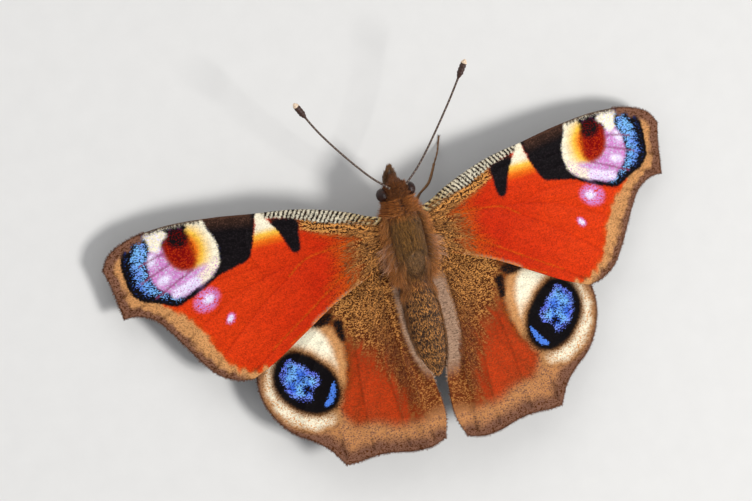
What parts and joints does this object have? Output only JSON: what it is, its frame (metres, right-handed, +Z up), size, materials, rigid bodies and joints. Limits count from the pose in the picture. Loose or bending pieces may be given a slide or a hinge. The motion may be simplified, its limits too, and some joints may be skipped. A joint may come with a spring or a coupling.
{
  "type": "peacock butterfly",
  "caption": "Life-size still model of a peacock butterfly resting on its feet with all wings spread flat, veined, with clubbed antennae.",
  "frame": {"origin": "on the floor under the middle of the box round the whole insect", "axes": "-Y towards the head, +X towards the butterfly's left wings, +Z up"},
  "size_m": [0.063, 0.0394, 0.0111],
  "materials": {
    "forewing": "scaled membrane, rusty red with eyespots above, sooty brown below",
    "hindwing": "scaled membrane, brown and rusty red with eyespots above, sooty brown below",
    "body_fur": "dense olive and orange brown hair",
    "abdomen_fur": "short dark brown hair flecked with gold",
    "eye": "glossy dark brown facets",
    "proboscis": "smooth dark brown horn",
    "antenna": "ringed dark brown with a pale tip",
    "leg": "short golden brown scales"
  },
  "bodies": {
    "root": {"head": "body_fur", "thorax": "body_fur", "abdomen": "abdomen_fur", "proboscis": "proboscis", "forewing_left": "forewing", "forewing_right": "forewing", "hindwing_left": "hindwing", "hindwing_right": "hindwing", "eye_left": "eye", "eye_right": "eye", "palp_left": "body_fur", "palp_right": "body_fur", "antenna_left": "antenna", "antenna_right": "antenna", "foreleg_left": "leg", "foreleg_right": "leg", "midleg_left": "leg", "midleg_right": "leg", "hindleg_left": "leg", "hindleg_right": "leg"}
  },
  "joints": []
}
